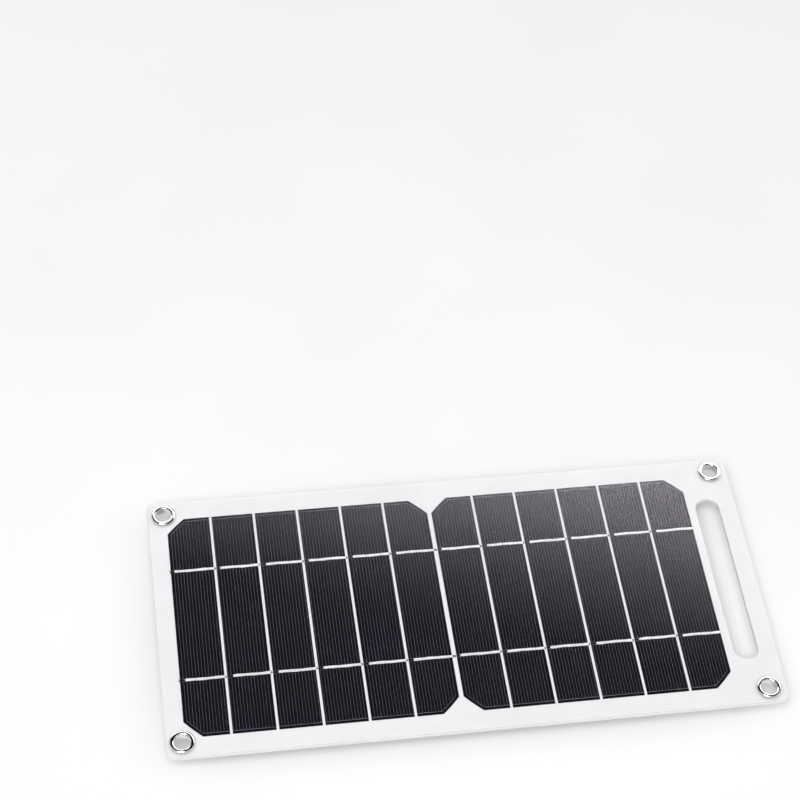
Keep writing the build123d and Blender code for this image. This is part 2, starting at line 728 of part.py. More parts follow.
# regulator: moulded body with bent leads at both sides
with BuildPart() as regulator_chip:
    with BuildSketch(Plane.XY.offset(pcb_bottom - CHIP_STANDOFF)):
        with Locations((box_x + CHIP_X, CHIP_Y)):
            Rectangle(CHIP_LENGTH, CHIP_WIDTH)
    extrude(amount=-CHIP_HEIGHT)
    for side in (-1, 1):
        lead_y = CHIP_Y + side * (CHIP_WIDTH / 2 + CHIP_LEAD_OUT)
        with BuildSketch(Plane.XY.offset(pcb_bottom)):
            with Locations((box_x + CHIP_X, lead_y)):
                with GridLocations(CHIP_LEAD_PITCH, 1, CHIP_LEADS_PER_SIDE, 1):
                    Rectangle(CHIP_LEAD_WIDTH, CHIP_LEAD_LENGTH)
        extrude(amount=-CHIP_LEAD_THICKNESS)
save(regulator_chip.part, "regulator_chip")

capacitor_places = [(box_x + along, across) for along, across in CAPACITOR_PLACES]
with BuildPart() as capacitors:
    with BuildSketch(Plane.XY.offset(pcb_bottom)):
        with Locations(*capacitor_places):
            RectangleRounded(CAPACITOR_SEAT, CAPACITOR_SEAT, CAPACITOR_SEAT_R)
    extrude(amount=-CAPACITOR_SEAT_HEIGHT)
    with BuildSketch(Plane.XY.offset(pcb_bottom - CAPACITOR_SEAT_HEIGHT)):
        with Locations(*capacitor_places):
            Circle(CAPACITOR_R)
    extrude(amount=-CAPACITOR_HEIGHT)
save(capacitors.part, "capacitors")

with BuildPart() as status_light:
    add(under_board(LIGHT_X, LIGHT_Y, LIGHT_LENGTH, LIGHT_WIDTH, LIGHT_HEIGHT, LIGHT_CORNER_R))
save(status_light.part, "status_light")

with BuildPart() as light_pipe:
    with BuildSketch(Plane.XY.offset(PIPE_RECESS)):
        with Locations((box_x + LIGHT_X, LIGHT_Y)):
            Circle(PIPE_R)
    extrude(amount=pcb_bottom - LIGHT_HEIGHT - PIPE_FROM_LIGHT - PIPE_RECESS)
    fillet(light_pipe.faces().sort_by(Axis.Z)[0].edges(), PIPE_END_R)
save(light_pipe.part, "light_pipe")

# ---------------------------------------------------------------- USB-A receptacle
usb_back = mouth_x - USB_LENGTH
inner_width = USB_WIDTH - 2 * USB_SHEET
inner_height = USB_HEIGHT - 2 * USB_SHEET
usb_ceiling = usb_bottom + USB_HEIGHT - USB_SHEET
tongue_top = usb_ceiling - TONGUE_BACK_GAP
tongue_bottom = tongue_top - TONGUE_THICKNESS

with BuildPart() as usb_shell:
    with BuildSketch(Plane.YZ.offset(usb_back)):
        with Locations((0, port_z)):
            RectangleRounded(USB_WIDTH, USB_HEIGHT, USB_CORNER_R)
            RectangleRounded(inner_width, inner_height, USB_INNER_R, mode=Mode.SUBTRACT)
    extrude(amount=USB_LENGTH)
    # two springs cut out of the lower wide wall, each a blade left in its window
    with BuildSketch(Plane.XY.offset(usb_bottom)):
        for (depth, length, width), mode in (
            (SPRING_WINDOW, Mode.ADD),
            (SPRING_BLADE, Mode.SUBTRACT),
            (SPRING_ROOT, Mode.SUBTRACT),
        ):
            with Locations((mouth_x - depth, -SPRING_Y), (mouth_x - depth, SPRING_Y)):
                Rectangle(length, width, mode=mode)
    extrude(amount=USB_SHEET, mode=Mode.SUBTRACT)
save(usb_shell.part, "usb_shell")

with BuildPart() as usb_contacts:
    for contact_y in CONTACT_PITCHES:
        with BuildSketch(xz_plane(contact_y)):
            with BuildLine():
                tip_x = mouth_x - TONGUE_RECESS - CONTACT_TIP
                tail_x = usb_back - CONTACT_TAIL
                low = tongue_bottom - CONTACT_THICKNESS
                Polyline(
                    (tip_x, low),
                    (tip_x, tongue_bottom),
                    (tail_x + CONTACT_THICKNESS, tongue_bottom),
                    (tail_x + CONTACT_THICKNESS, pcb_bottom),
                    (tail_x, pcb_bottom),
                    (tail_x, low),
                    close=True,
                )
            make_face()
        extrude(amount=CONTACT_WIDTH / 2, both=True)
save(usb_contacts.part, "usb_contacts")

with BuildPart() as usb_insulator:
    with BuildSketch(Plane.YZ.offset(usb_back)):
        with Locations((0, port_z)):
            block_width = inner_width - 2 * INSULATOR_CLEARANCE
            block_height = inner_height - 2 * INSULATOR_CLEARANCE
            RectangleRounded(block_width, block_height, USB_INNER_R)
    extrude(amount=INSULATOR_BLOCK)
    with BuildSketch(Plane.YZ.offset(usb_back)):
        with Locations((0, (tongue_top + tongue_bottom) / 2)):
            Rectangle(TONGUE_WIDTH, TONGUE_THICKNESS)
    extrude(amount=USB_LENGTH - TONGUE_RECESS)
    add(usb_contacts.part, mode=Mode.SUBTRACT)
save(usb_insulator.part, "usb_insulator")

# ---------------------------------------------------------------- hinged port cover
door_inner_x = wall_x + DOOR_GAP
with BuildPart() as port_cover:
    # plate over the port
    with BuildSketch(Plane.YZ.offset(door_inner_x)):
        with Locations((0, port_z)):
            RectangleRounded(DOOR_LENGTH, DOOR_HEIGHT, DOOR_CORNER_R)
    extrude(amount=DOOR_THICKNESS)
    fillet(port_cover.faces().sort_by(Axis.X)[-1].edges(), DOOR_EDGE_R)
    # lip that seals the mouth
    with BuildSketch(Plane.YZ.offset(door_inner_x)):
        with Locations((0, port_z)):
            lip_width = port_width - 2 * DOOR_LIP_CLEARANCE
            lip_height = port_height - 2 * DOOR_LIP_CLEARANCE
            RectangleRounded(lip_width, lip_height, DOOR_LIP_R)
    extrude(amount=-DOOR_LIP_DEPTH)
    # knuckle and the arm that joins it to the plate
    with BuildSketch(Plane.XY.offset(knuckle_bottom)):
        with Locations((hinge_x, hinge_y)):
            Circle(KNUCKLE_R)
        arm_length = HINGE_FROM_DOOR + DOOR_ARM_OVERLAP
        with Locations((door_inner_x + DOOR_THICKNESS / 2, hinge_y + arm_length / 2)):
            Rectangle(DOOR_THICKNESS, arm_length)
    extrude(amount=KNUCKLE_HEIGHT)
    # thumb tab at the free end
    tab_x = door_inner_x + DOOR_THICKNESS / 2 + THUMB_TAB_OUT
    tab_y = (DOOR_LENGTH + THUMB_TAB - THUMB_TAB_OVERLAP) / 2
    with BuildSketch(Plane.XY.offset(port_z - THUMB_TAB_HEIGHT / 2)):
        with Locations((tab_x, tab_y)):
            RectangleRounded(THUMB_TAB_THICKNESS, THUMB_TAB + THUMB_TAB_OVERLAP, THUMB_TAB_R)
    extrude(amount=THUMB_TAB_HEIGHT)
    # bore for the hinge pin
    with BuildSketch(Plane.XY.offset(knuckle_bottom)):
        with Locations((hinge_x, hinge_y)):
            Circle(PIN_R + PIN_CLEARANCE)
    extrude(amount=KNUCKLE_HEIGHT, mode=Mode.SUBTRACT)
save(port_cover.part, "port_cover")

with BuildPart() as hinge_pin:
    with BuildSketch(Plane.XY.offset(ear_bottoms[0])):
        with Locations((hinge_x, hinge_y)):
            Circle(PIN_R)
    extrude(amount=ear_bottoms[1] + EAR_HEIGHT - ear_bottoms[0])
save(hinge_pin.part, "hinge_pin")

cell_area = sum((right - left) * WAFER_SIDE for left, right, _ in strips) / 100
print(f"cells {cells_left:.1f} to {cells_right:.1f}, slot centre {slot_x:.2f}, area {cell_area:.0f} cm2")
print(f"box centre {box_x:.2f}, hinge ({hinge_x:.2f}, {hinge_y:.2f}), film top {film_top:.2f}")
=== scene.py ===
import math
import random

import bmesh
import bpy
from mathutils import Matrix, Vector


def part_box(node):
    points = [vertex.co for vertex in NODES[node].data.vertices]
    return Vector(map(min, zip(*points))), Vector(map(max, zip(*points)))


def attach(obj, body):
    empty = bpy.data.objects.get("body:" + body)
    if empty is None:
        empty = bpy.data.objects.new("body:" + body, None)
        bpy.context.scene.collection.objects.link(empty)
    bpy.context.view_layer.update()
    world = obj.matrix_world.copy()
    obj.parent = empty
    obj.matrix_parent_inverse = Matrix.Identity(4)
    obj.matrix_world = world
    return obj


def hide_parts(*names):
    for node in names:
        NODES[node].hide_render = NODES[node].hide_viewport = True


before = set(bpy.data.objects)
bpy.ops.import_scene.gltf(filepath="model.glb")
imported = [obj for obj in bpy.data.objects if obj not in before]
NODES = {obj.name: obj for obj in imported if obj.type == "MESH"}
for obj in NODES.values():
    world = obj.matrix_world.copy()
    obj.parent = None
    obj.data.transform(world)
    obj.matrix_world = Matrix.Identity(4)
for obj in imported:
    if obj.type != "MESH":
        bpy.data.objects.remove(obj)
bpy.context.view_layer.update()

BODY = "charger"

# ------------------------------------------------------------------ sizes, in metres
MM = 0.001

# the cell grid printed on each uncut wafer
WAFER_HALF = 62.5 * MM
WAFER_INGOT_R = 82.5 * MM
STRIPS_PER_WAFER = 6
GRID_RIM = 1.5 * MM
FINGER_COUNT = 80
FINGER_PITCH = 1.54 * MM
FINGER_WIDTH = 0.12 * MM
FINGER_HEIGHT = 0.02 * MM
FINGER_TO_CUT = 0.3 * MM
END_LINE_WIDTH = 0.26 * MM
END_LINE_STEPS = 24
BUSBAR_Y = WAFER_HALF / 2
BUSBAR_RAIL = 0.15 * MM
BUSBAR_HALF = 0.65 * MM

# tab ribbons, and the part of each where it dives between two strips, coloured dark as flux plus painted
# shade
RIBBON_WIDTH = 1.4 * MM
RIBBON_THICKNESS = 0.2 * MM
RIBBON_RELIEF = 0.2 * MM
FLUX_SHADE_FROM = -0.05 * MM
FLUX_SHADE_TO = 0.3 * MM
BEND = 0.2 * MM
FOLD_BACK = 6.0 * MM

# a ribbon's section: shares of its half width and of its thickness
RIBBON_SECTION = (
    (-1, -0.5), (-1, -0.2), (-0.8, 0.3), (-0.4, 0.5),
    (0.4, 0.5), (0.8, 0.3), (1, -0.2), (1, -0.5),
)

# how uneven the soldering by hand left the ribbons; the waves are in radians per millimetre
RING_STEP = 0.8 * MM
START_SHORT = 0.6 * MM
START_LONG = -0.5 * MM
LEAN = 0.12 * MM
SWAY = 0.1 * MM
SWAY_PER_MM = 0.42
FULL_TURN = 6.28
JITTER = 0.03 * MM
WIDTH_MEAN = 0.96
WIDTH_SWELL = 0.07
WIDTH_PER_MM = 0.9
WIDTH_JITTER = 0.05
END_NARROWING = 0.82
START_SEED = 500
END_RIBBON_SEED = 131

# the clear layer over the cells, a hair away from what it touches, and the lip at every cut edge
CLEAR_OVER_CELLS = 0.23 * MM
HAIR = 0.01 * MM
EDGE_LIP = 0.6 * MM
FACING_UP = 0.9

# ------------------------------------------------------------------ camera and studio
CAMERA_PLACE = Vector((-0.1532, -0.5675, 0.9069))
CAMERA_AIM = Vector((-0.0128, 0.1284, 0.0140))
CAMERA_ROLL = math.radians(4.66)
CAMERA_LENS = 96.96
CAMERA_SENSOR = 36.0

KEY_PLACE = (-0.63, -1.36, 2.6)
KEY_SIZE = 1.6
KEY_POWER = 53.0
FILL_PLACE = (2.6, -0.6, 2.0)
FILL_SIZE = 2.0
FILL_POWER = 8.0

# the surroundings: brightness low down, overhead, and as the camera sees it
HORIZON = 0.16
ZENITH = 0.68
BACKDROP = 0.9
HORIZON_RISE = 0.1
ZENITH_RISE = 0.75
TENT_COLOUR = (0.97, 0.98, 1.0)

FLOOR_HALF = 6.0
FLOOR_DULL = (0.9, 0.9, 0.9)
FLOOR_BRIGHT = (0.93, 0.93, 0.93)
FLOOR_ROUGHNESS = 0.8

# the reflector card's glow: a step at its edge, then more with distance from the edge
CARD_STEP = 0.05
CARD_SLOPE = 6.8
CARD_CURVE = 152.0
CARD_FULL_AT = 0.16
CARD_PLACE = (0.141, 0.277, 0.5)
CARD_TURN = math.radians(-17.9)
CARD_ACROSS = (-0.8, 0.6)
CARD_UP = (-0.45, 0.45)
CARD_COLOUR = (1.0, 0.965, 1.03)


# ------------------------------------------------------------------ node materials
class Shader:
    """A material under construction: adds nodes and links them by name."""

    def __init__(self, name):
        self.material = bpy.data.materials.new(name)
        self.material.use_nodes = True
        self.tree = self.material.node_tree
        self.tree.nodes.clear()
        self.output = self.add("ShaderNodeOutputMaterial")

    def add(self, kind, **values):
        """A node; each value is one of its settings or, by name, one of its inputs."""
        node = self.tree.nodes.new(kind)
        for key, value in values.items():
            if hasattr(node, key):
                setattr(node, key, value)
            else:
                node.inputs[key.replace("_", " ")].default_value = value
        return node

    def link(self, source, target):
        self.tree.links.new(source, target)

    def feed(self, socket, value):
        """Links a socket's value, or sets a plain number."""
        if hasattr(value, "is_linked"):
            self.link(value, socket)
        else:
            socket.default_value = value

    def place(self, stretch=(1, 1, 1)):
        """Coordinates fixed to the object, in metres, stretched along each axis."""
        coords = self.add("ShaderNodeTexCoord")
        mapping = self.add("ShaderNodeMapping", Scale=stretch)
        self.link(coords.outputs["Object"], mapping.inputs["Vector"])
        return mapping.outputs["Vector"]

    def noise(self, scale, detail=3.0, stretch=(1, 1, 1)):
        node = self.add("ShaderNodeTexNoise", Scale=scale, Detail=detail, Roughness=0.55)
        self.link(self.place(stretch), node.inputs["Vector"])
        return node.outputs["Fac"]

    def spots(self, scale):
        node = self.add("ShaderNodeTexVoronoi", Scale=scale)
        self.link(self.place(), node.inputs["Vector"])
        return node.outputs["Distance"]

    def span(self, value, low, high, out_low=0, out_high=1):
        """A value moved from one range to another, and kept inside it."""
        node = self.add(
            "ShaderNodeMapRange",
            From_Min=low,
            From_Max=high,
            To_Min=out_low,
            To_Max=out_high,
        )
        self.link(value, node.inputs["Value"])
        return node.outputs["Result"]

    def blend(self, factor, first, second):
        """A colour that goes from first to second with factor."""
        node = self.add("ShaderNodeMix", data_type="RGBA")
        colours = [socket for socket in node.inputs if socket.type == "RGBA"]
        for socket, colour in zip(colours, (first, second)):
            self.feed(socket, colour if hasattr(colour, "is_linked") else (*colour, 1))
        self.link(factor, node.inputs["Factor"])
        return next(socket for socket in node.outputs if socket.type == "RGBA")

    def join(self, operation, first, second):
        node = self.add("ShaderNodeMath", operation=operation)
        self.feed(node.inputs[0], first)
        self.feed(node.inputs[1], second)
        return node.outputs[0]

    def bump(self, height, strength, distance, normal=None):
        node = self.add("ShaderNodeBump", Strength=strength, Distance=distance)
        self.link(height, node.inputs["Height"])
        if normal is not None:
            self.link(normal, node.inputs["Normal"])
        return node.outputs["Normal"]

    def principled(self, colour, roughness, normal=None, **values):
        """Ends the material in one Principled shader; any value may be a socket."""
        node = self.add("ShaderNodeBsdfPrincipled")
        values = {"Base Color": colour, "Roughness": roughness, "Normal": normal, **values}
        for name, value in values.items():
            if value is not None:
                self.feed(node.inputs[name.replace("_", " ")], value)
        self.link(node.outputs[0], self.output.inputs["Surface"])
        return self.material


def under_film(s):
    """The clear laminate's own gloss over a dark cell, for a Principled shader's coat."""
    ripples = s.bump(s.noise(55, detail=2), strength=0.5, distance=0.00002)
    return {"Coat_Weight": 1.0, "Coat_IOR": 1.46, "Coat_Roughness": 0.07, "Coat_Normal": ripples}


def silicon():
    """Anti-reflection coated cell: near black, a violet cast that drifts across the wafers."""
    s = Shader("silicon_cell")
    violet = (0.0043, 0.0041, 0.0086)
    neutral = (0.0057, 0.0052, 0.0076)
    bright_grain = (0.0095, 0.0086, 0.0135)
    cast = s.span(s.noise(14, detail=2), 0.35, 0.65)
    grain = s.span(s.noise(2600, detail=4), 0.3, 0.7)
    base = s.blend(cast, violet, neutral)
    colour = s.blend(s.join("MULTIPLY", grain, 0.35), base, bright_grain)
    rough = s.span(grain, 0, 1, 0.38, 0.55)
    normal = s.bump(grain, strength=0.15, distance=0.00002)
    return s.principled(colour, rough, normal, Specular_IOR_Level=0.04, **under_film(s))


def silver_paste():
    """Printed silver fingers: dull grey, thinner in places."""
    s = Shader("silver_paste")
    full = (0.19, 0.188, 0.215)
    thin = (0.11, 0.11, 0.13)
    wear = s.span(s.noise(900, detail=4), 0.3, 0.75)
    rough = s.span(wear, 0, 1, 0.35, 0.55)
    normal = s.bump(wear, strength=0.3, distance=0.00001)
    return s.principled(s.blend(wear, full, thin), rough, normal, Metallic=0.35, **under_film(s))


def tinned_copper():
    """Tinned ribbon: bright, with soft solder waves and duller patches."""
    s = Shader("tinned_ribbon")
    bright = (0.95, 0.95, 0.96)
    dull = (0.7, 0.7, 0.72)
    waves = s.noise(900, stretch=(1.0, 1.4, 1))
    patches = s.span(s.noise(700, detail=4), 0.35, 0.7)
    rough = s.span(patches, 0, 1, 0.36, 0.56)
    normal = s.bump(waves, strength=0.6, distance=0.00008)
    return s.principled(s.blend(patches, bright, dull), rough, normal, Metallic=0.3)


def flux_and_painted_shade():
    """Where a ribbon dives between two strips: dull tin under dark flux, darkened further with painted
    shade for the shadow in the gap.
    """
    s = Shader("flux_and_painted_shade")
    # the darker colour is partly flux and partly painted shade where the ribbon sinks into the gap
    flux_in_painted_shade = (0.07, 0.066, 0.07)
    greyed = (0.24, 0.23, 0.24)
    blots = s.span(s.noise(1100), 0.35, 0.65)
    rough = s.span(blots, 0, 1, 0.3, 0.6)
    normal = s.bump(blots, strength=0.4, distance=0.00004)
    return s.principled(s.blend(blots, flux_in_painted_shade, greyed), rough, normal)


def solder():
    """Hand-soldered joints: bright, softly rippled."""
    s = Shader("solder")
    bright = (0.78, 0.78, 0.8)
    dull = (0.6, 0.6, 0.63)
    waves = s.noise(700, detail=2)
    colour = s.blend(s.span(waves, 0.3, 0.7), bright, dull)
    rough = s.span(waves, 0.3, 0.7, 0.22, 0.38)
    return s.principled(colour, rough, s.bump(waves, strength=0.4, distance=0.0001), Metallic=1.0)


def clear_sheet(name, index, rough_low, rough_high, wave_height, clearness):
    """A clear sheet that lets light straight through and mirrors at its outer face only."""
    s = Shader(name)
    through = s.add("ShaderNodeBsdfTransparent", Color=(clearness, clearness, clearness, 1))
    gloss = s.add("ShaderNodeBsdfGlossy", Color=(1, 1, 1, 1))
    waves = s.noise(55, detail=2)
    peel = s.noise(620, detail=2)
    waved = s.bump(waves, strength=0.5, distance=wave_height)
    s.link(s.bump(peel, 0.25, wave_height / 10, waved), gloss.inputs["Normal"])
    s.link(s.span(waves, 0.3, 0.7, rough_low, rough_high), gloss.inputs["Roughness"])
    fresnel = s.add("ShaderNodeFresnel", IOR=index)
    facing = s.add("ShaderNodeNewGeometry")
    outer = s.join("SUBTRACT", 1.0, facing.outputs["Backfacing"])
    mix = s.add("ShaderNodeMixShader")
    s.link(s.join("MULTIPLY", fresnel.outputs[0], outer), mix.inputs[0])
    s.link(through.outputs[0], mix.inputs[1])
    s.link(gloss.outputs[0], mix.inputs[2])
    s.link(mix.outputs[0], s.output.inputs["Surface"])
    return s.material


def white_laminate(name, low, high, rough, weave):
    """White sheet with a faint cloudiness; weave is how much glass cloth shows in it."""
    s = Shader(name)
    cloth_scale = 330.0
    cloud = s.span(s.noise(38, detail=4), 0.35, 0.65)
    specks = s.span(s.noise(1800), 0.35, 0.65)
    colour = s.blend(s.join("MULTIPLY", cloud, 0.7), high, low)
    normal = s.bump(specks, strength=0.08, distance=0.00002)
    if weave:
        waves = []
        for axis in ("X", "Y"):
            wave = s.add(
                "ShaderNodeTexWave",
                Scale=cloth_scale,
                Distortion=0.6,
                bands_direction=axis,
            )
            s.link(s.place(), wave.inputs["Vector"])
            waves.append(wave.outputs["Fac"])
        cloth = s.join("MULTIPLY", *waves)
        colour = s.blend(s.join("MULTIPLY", cloth, weave), colour, low)
        normal = s.bump(cloth, 0.25, 0.00003, normal)
    return s.principled(colour, s.span(specks, 0, 1, rough, rough + 0.12), normal)


def nickel():
    """Bright nickel plate with fine turning marks and rubbed patches."""
    s = Shader("nickel_plate")
    bright = (0.9, 0.89, 0.87)
    rubbed = (0.78, 0.77, 0.75)
    rub = s.span(s.noise(300, detail=5), 0.4, 0.7)
    scratches = s.noise(2400, stretch=(1, 1, 6))
    rough = s.span(rub, 0, 1, 0.07, 0.2)
    normal = s.bump(scratches, strength=0.12, distance=0.00002)
    return s.principled(s.blend(rub, bright, rubbed), rough, normal, Metallic=1.0)


def moulded(name, dark, light, rough, grain_scale, grain_height):
    """Moulded plastic or rubber: fine spark-eroded grain, paler where it is handled."""
    s = Shader(name)
    grain = s.noise(grain_scale)
    pits = s.spots(grain_scale * 0.6)
    handled = s.span(s.noise(90, detail=4), 0.4, 0.75)
    height = s.join("ADD", grain, s.join("MULTIPLY", pits, 0.6))
    rough_value = s.span(grain, 0.3, 0.7, rough - 0.07, rough + 0.07)
    return s.principled(s.blend(handled, dark, light), rough_value, s.bump(height, 0.5, grain_height))


def metal(name, dark, light, rough, stretch=(1, 1, 1)):
    """Plated steel: short directional marks and a little clouding."""
    s = Shader(name)
    marks = s.noise(1500, detail=4, stretch=stretch)
    cloud = s.span(s.noise(260), 0.35, 0.65)
    rough_value = s.span(marks, 0.3, 0.7, rough - 0.08, rough + 0.08)
    normal = s.bump(marks, strength=0.2, distance=0.00002)
    return s.principled(s.blend(cloud, dark, light), rough_value, normal, Metallic=1.0)


def solder_mask():
    """Green circuit board: copper tracks show as slightly raised, lighter lines."""
    s = Shader("circuit_board")
    board_green = (0.012, 0.14, 0.05)
    track_green = (0.03, 0.26, 0.11)
    bricks = s.add("ShaderNodeTexBrick", Scale=260.0, Mortar_Size=0.025)
    s.link(s.place(), bricks.inputs["Vector"])
    track = bricks.outputs["Fac"]
    rough = s.span(s.noise(700), 0.3, 0.7, 0.22, 0.34)
    normal = s.bump(track, strength=0.5, distance=0.00003)
    return s.principled(s.blend(track, board_green, track_green), rough, normal)


def clear_part(name, colour, rough):
    """A small clear or milky moulding, such as the light pipe."""
    s = Shader(name)
    cloud = s.span(s.noise(800, detail=2), 0.3, 0.7)
    tint = s.blend(cloud, colour, tuple(0.85 * c for c in colour))
    rough_value = s.span(cloud, 0, 1, rough, rough + 0.1)
    normal = s.bump(cloud, strength=0.1, distance=0.00001)
    return s.principled(tint, rough_value, normal, Transmission_Weight=0.6, IOR=1.49)


# ------------------------------------------------------------------ mesh helpers
def link_object(name, mesh):
    obj = bpy.data.objects.new(name, mesh)
    bpy.context.scene.collection.objects.link(obj)
    return obj


def mesh_object(name, verts, faces, material):
    mesh = bpy.data.meshes.new(name)
    mesh.from_pydata([tuple(v) for v in verts], [], faces)
    mesh.validate()
    mesh.update()
    mesh.materials.append(material)
    return link_object(name, mesh)


def piece(obj, slot, *stands_for):
    """Puts a finished mesh on the charger and hides the CAD nodes it stands for; slot, its finish, is
    not used.
    """
    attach(obj, BODY)
    if stands_for:
        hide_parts(*stands_for)


class Parts:
    """Several closed bodies collected into one mesh."""

    def __init__(self):
        self.verts = []
        self.faces = []

    def block(self, x0, x1, y0, y1, z0, z1):
        self.prism([(x0, y0), (x1, y0), (x1, y1), (x0, y1)], z0, z1)

    def prism(self, outline, z0, z1):
        """A closed prism between two heights."""
        self.loft([[(x, y, z) for x, y in outline] for z in (z0, z1)])

    def loft(self, rings):
        """A closed body through equal rings of points, capped at both ends."""
        start = len(self.verts)
        count = len(rings[0])
        for ring in rings:
            self.verts += ring
        for k in range(len(rings) - 1):
            a = start + k * count
            for i in range(count):
                j = (i + 1) % count
                self.faces.append([a + i, a + j, a + count + j, a + count + i])
        self.faces.append([start + i for i in reversed(range(count))])
        last = start + (len(rings) - 1) * count
        self.faces.append([last + i for i in range(count)])

    def finish(self, name, material):
        """The bodies as one object, with every face turned outwards."""
        obj = mesh_object(name, self.verts, self.faces, material)
        bm = bmesh.new()
        bm.from_mesh(obj.data)
        bmesh.ops.recalc_face_normals(bm, faces=bm.faces)
        bm.to_mesh(obj.data)
        bm.free()
        return obj


# ------------------------------------------------------------------ camera, lights, floor
def add_camera():
    """The camera is on the photographed side of the panel, beyond its lower edge."""
    data = bpy.data.cameras.new("camera")
    data.lens = CAMERA_LENS
    data.sensor_width = CAMERA_SENSOR
    data.clip_start = 10 * MM
    camera = link_object("camera", data)
    turn = (CAMERA_PLACE - CAMERA_AIM).to_track_quat("Z", "Y").to_matrix().to_4x4()
    roll = Matrix.Rotation(CAMERA_ROLL, 4, "Z")
    camera.matrix_world = Matrix.Translation(CAMERA_PLACE) @ turn @ roll
    bpy.context.scene.camera = camera


def add_area(name, place, size, power):
    """A square light that faces the origin."""
    data = bpy.data.lights.new(name, "AREA")
    data.size = size
    data.energy = power
    light = link_object(name, data)
    light.location = place
    light.rotation_euler = Vector(place).to_track_quat("Z", "Y").to_euler()


def add_world():
    """A pale tent, dimmer towards the horizon; the camera itself sees an even pale backdrop."""
    world = bpy.data.worlds.new("studio")
    world.use_nodes = True
    bpy.context.scene.world = world
    tree = world.node_tree
    background = tree.nodes["Background"]
    coords = tree.nodes.new("ShaderNodeTexCoord")
    split = tree.nodes.new("ShaderNodeSeparateXYZ")
    rise = tree.nodes.new("ShaderNodeMapRange")
    rays = tree.nodes.new("ShaderNodeLightPath")
    choice = tree.nodes.new("ShaderNodeMix")
    rise.interpolation_type = "SMOOTHSTEP"
    rise.inputs["From Min"].default_value = HORIZON_RISE
    rise.inputs["From Max"].default_value = ZENITH_RISE
    rise.inputs["To Min"].default_value = HORIZON
    rise.inputs["To Max"].default_value = ZENITH
    tree.links.new(coords.outputs["Generated"], split.inputs[0])
    tree.links.new(split.outputs["Z"], rise.inputs["Value"])
    tree.links.new(rays.outputs["Is Camera Ray"], choice.inputs["Factor"])
    tree.links.new(rise.outputs["Result"], choice.inputs["A"])
    choice.inputs["B"].default_value = BACKDROP
    tree.links.new(choice.outputs["Result"], background.inputs["Strength"])
    background.inputs["Color"].default_value = (*TENT_COLOUR, 1)


def add_reflector():
    """A dark card behind the panel with a bright upper part, which only gloss and metal mirror.

    In its own frame the bright part starts at y = 0 and grows with y, in metres.
    """
    s = Shader("reflector_glow")
    glow = s.add("ShaderNodeEmission", Color=(*CARD_COLOUR, 1))
    coords = s.add("ShaderNodeTexCoord")
    split = s.add("ShaderNodeSeparateXYZ")
    s.link(coords.outputs["Object"], split.inputs[0])
    up = s.join("MINIMUM", split.outputs["Y"], CARD_FULL_AT)
    growth = s.join("ADD", CARD_SLOPE, s.join("MULTIPLY", up, CARD_CURVE))
    strength = s.join("ADD", CARD_STEP, s.join("MULTIPLY", up, growth))
    lit = s.join("GREATER_THAN", up, 0.0)
    s.link(s.join("MULTIPLY", lit, strength), glow.inputs["Strength"])
    s.link(glow.outputs[0], s.output.inputs["Surface"])
    (left, right), (bottom, top) = CARD_ACROSS, CARD_UP
    corners = [(left, bottom, 0), (left, top, 0), (right, top, 0), (right, bottom, 0)]
    card = mesh_object("reflector_card", corners, [(0, 1, 2, 3)], s.material)
    card.location = CARD_PLACE
    card.rotation_euler = (0, 0, CARD_TURN)
    for ray in ("camera", "diffuse", "transmission", "volume_scatter", "shadow"):
        setattr(card, f"visible_{ray}", False)


def add_floor():
    s = Shader("floor_paper")
    tone = s.span(s.noise(6, detail=2), 0.3, 0.7)
    colour = s.blend(tone, FLOOR_DULL, FLOOR_BRIGHT)
    s.principled(colour, FLOOR_ROUGHNESS, Specular_IOR_Level=0.0)
    far = FLOOR_HALF
    corners = [(-far, -far, 0), (far, -far, 0), (far, far, 0), (-far, far, 0)]
    mesh_object("floor", corners, [(0, 1, 2, 3)], s.material)


# ------------------------------------------------------------------ laminate
def strip_layout():
    """Each strip's number and box, and where its left edge was on its uncut wafer."""
    layout = []
    for number in range(1, 2 * STRIPS_PER_WAFER + 1):
        low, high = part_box(f"cell_strip_{number:02d}")
        if (number - 1) % STRIPS_PER_WAFER == 0:
            cut_at = -WAFER_HALF
        layout.append((number, low, high, cut_at))
        cut_at += high.x - low.x
    return layout


def grid_reach(u):
    """How far the printed grid goes from the wafer's middle line, at u across the wafer."""
    corner = math.sqrt((WAFER_INGOT_R - GRID_RIM) ** 2 - u**2)
    return min(WAFER_HALF - GRID_RIM, corner)


